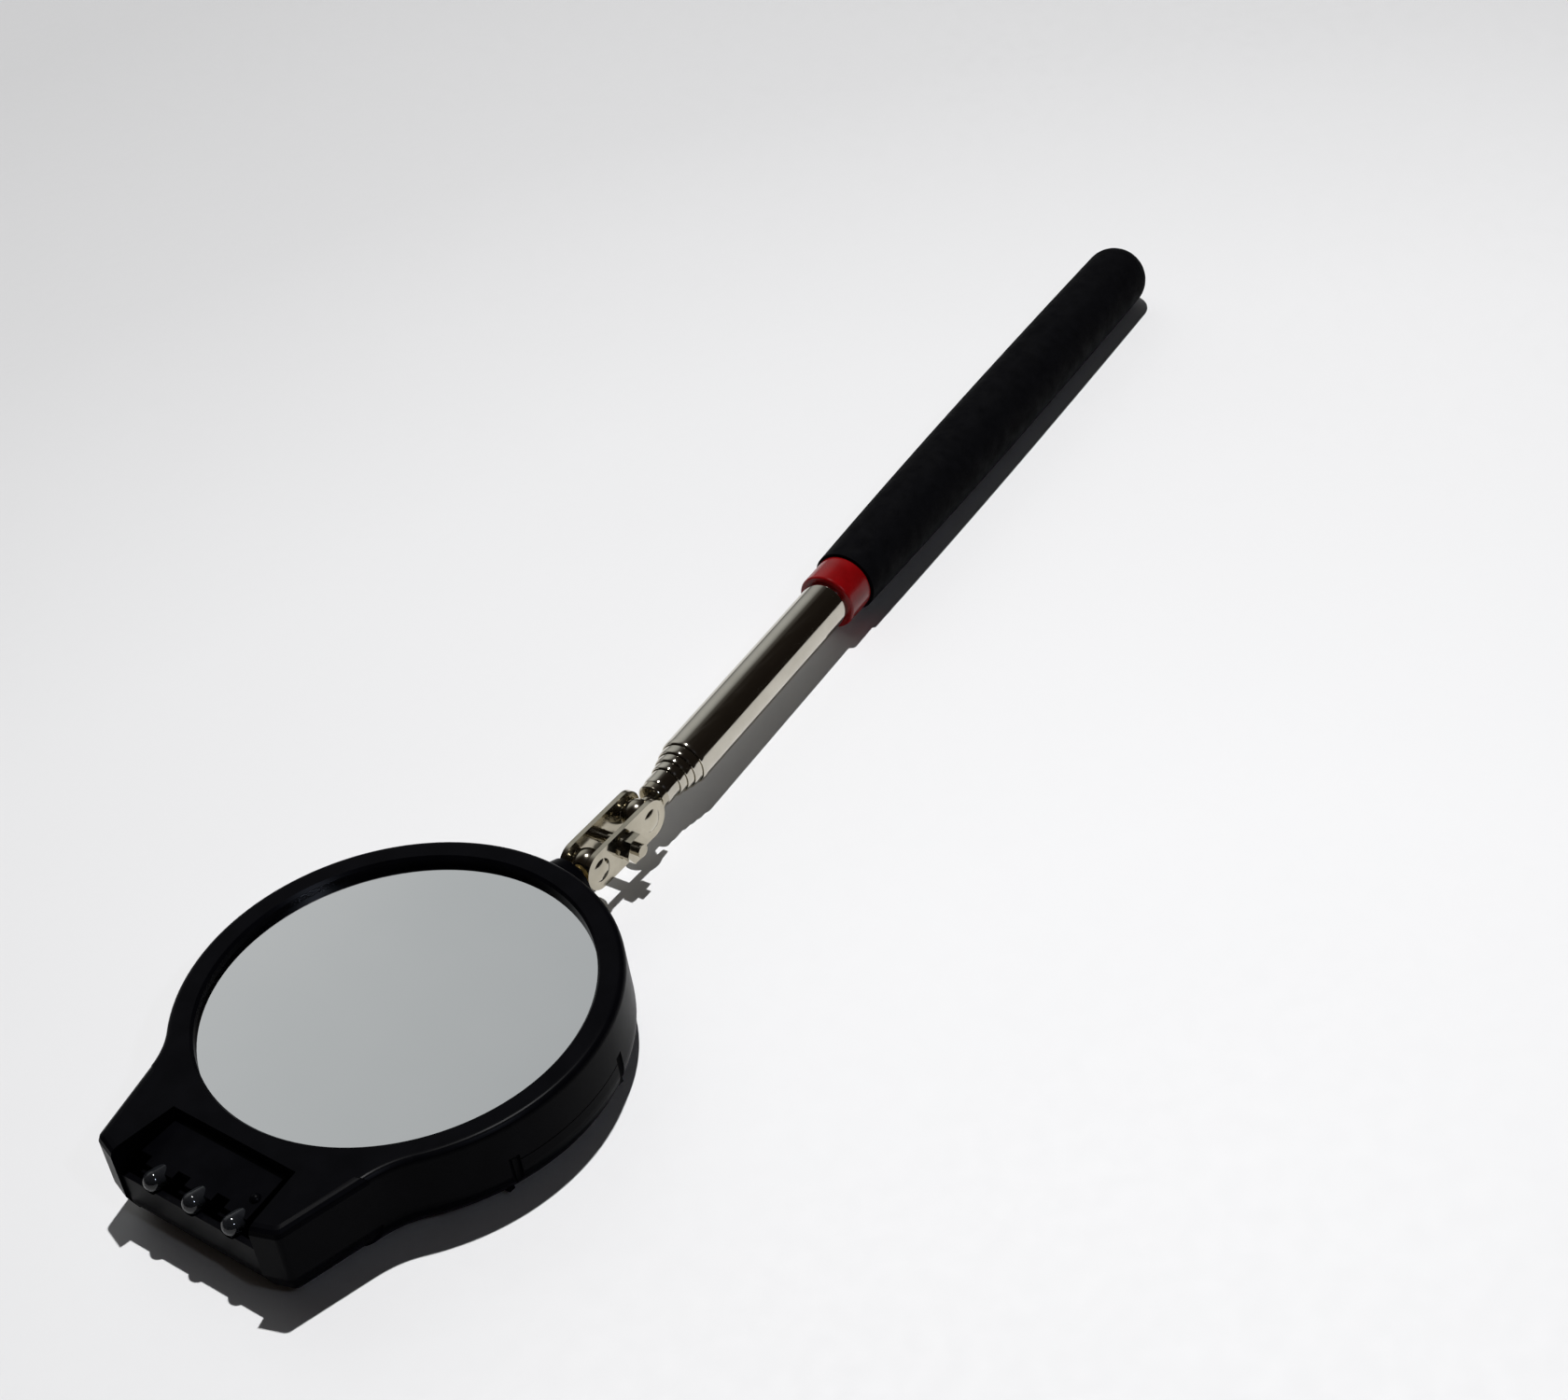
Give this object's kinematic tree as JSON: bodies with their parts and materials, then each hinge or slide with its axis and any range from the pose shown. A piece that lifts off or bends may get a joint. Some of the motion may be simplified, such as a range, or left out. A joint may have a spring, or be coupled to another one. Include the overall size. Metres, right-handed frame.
{
  "type": "telescoping inspection mirror",
  "caption": "Pocket inspection mirror: a round lighted mirror head on a two-ball clamp link and a chromed telescoping handle with a soft grip and a red collar.",
  "frame": {"origin": "centre of the head's flat back, straight under the mirror's centre, on the plane the mirror lies on", "axes": "+X from the mirror's centre towards the link and handle, +Y across the head away from the battery drawer, +Z out of the mirror glass"},
  "size_m": [0.257, 0.0638, 0.0139],
  "materials": {
    "shell": "glossy black ABS",
    "mirror": "silvered glass",
    "foam": "adhesive foam",
    "inner_plastic": "matte",
    "lamp": "clear lens",
    "tinned_wire": "tinned",
    "board": "solder mask",
    "knob": "matte",
    "spring_brass": "bright",
    "dark_screw": "black oxide",
    "cell": "bright",
    "nickel": "nickel plated",
    "chrome": "polished chrome",
    "collar": "glossy red",
    "grip": "matte soft grip"
  },
  "bodies": {
    "handle": {"outer_tube": "chrome", "tube_plug": "inner_plastic", "collar": "collar", "grip_sleeve": "grip"},
    "section_2": {"tube_section_2": "chrome", "friction_sleeve_2": "spring_brass"},
    "section_3": {"tube_section_3": "chrome", "friction_sleeve_3": "spring_brass"},
    "section_4": {"tube_section_4": "chrome", "friction_sleeve_4": "spring_brass"},
    "section_5": {"tube_section_5": "chrome", "friction_sleeve_5": "spring_brass", "rod_bush": "spring_brass"},
    "rod_stud": {"rod_ball_stud": "nickel"},
    "link": {"link_plate_near": "nickel", "link_plate_far": "nickel", "link_screw": "nickel", "link_lock_washer": "nickel", "link_nut": "nickel"},
    "head_stud": {"head_ball_stud": "nickel"},
    "head": {"front_shell": "shell", "rear_shell": "shell", "mirror_glass": "mirror", "mirror_pad": "foam", "mirror_backplate": "inner_plastic", "lamp_holder": "shell", "lamp_near": "lamp", "lamp_middle": "lamp", "lamp_far": "lamp", "lamp_leads": "tinned_wire", "circuit_board": "board", "resistors": "inner_plastic", "switch_body": "tinned_wire", "contact_top": "spring_brass", "contact_bottom": "spring_brass", "shell_screws": "dark_screw", "stud_bush": "spring_brass"},
    "switch": {"switch_knob": "knob"},
    "drawer": {"battery_drawer": "shell", "coin_cell_lower": "cell", "coin_cell_upper": "cell"}
  },
  "joints": [
    {"name": "section_2_slide", "type": "slide", "parent": "handle", "child": "section_2", "axis": [-0.9927, -0.1201, 0.0075], "range_m": [0, 0.11]},
    {"name": "section_3_slide", "type": "slide", "parent": "section_2", "child": "section_3", "axis": [-0.9927, -0.1201, 0.0075], "range_m": [0, 0.105]},
    {"name": "section_4_slide", "type": "slide", "parent": "section_3", "child": "section_4", "axis": [-0.9927, -0.1201, 0.0075], "range_m": [0, 0.1]},
    {"name": "section_5_slide", "type": "slide", "parent": "section_4", "child": "section_5", "axis": [-0.9927, -0.1201, 0.0075], "range_m": [0, 0.095]},
    {"name": "rod_spin", "type": "hinge", "parent": "section_5", "child": "rod_stud", "pos_m": [0.05109, 0.00055, 0.0069], "axis": [0.9927, 0.1201, -0.0075], "continuous": true},
    {"name": "link_swing", "type": "hinge", "parent": "rod_stud", "child": "link", "pos_m": [0.05109, 0.00055, 0.0069], "axis": [-0.0454, 0.999, 0], "range_deg": [-95, 95]},
    {"name": "head_swing", "type": "hinge", "parent": "link", "child": "head_stud", "pos_m": [0.039, 0, 0.0069], "axis": [0.0454, -0.999, 0], "range_deg": [-95, 95]},
    {"name": "head_spin", "type": "hinge", "parent": "head_stud", "child": "head", "pos_m": [0.039, 0, 0.0069], "axis": [1, 0, 0], "continuous": true},
    {"name": "switch_slide", "type": "slide", "parent": "head", "child": "switch", "axis": [1, 0, 0], "range_m": [0, 0.0024]},
    {"name": "drawer_slide", "type": "slide", "parent": "head", "child": "drawer", "axis": [0, -1, 0], "range_m": [0, 0.024]}
  ]
}
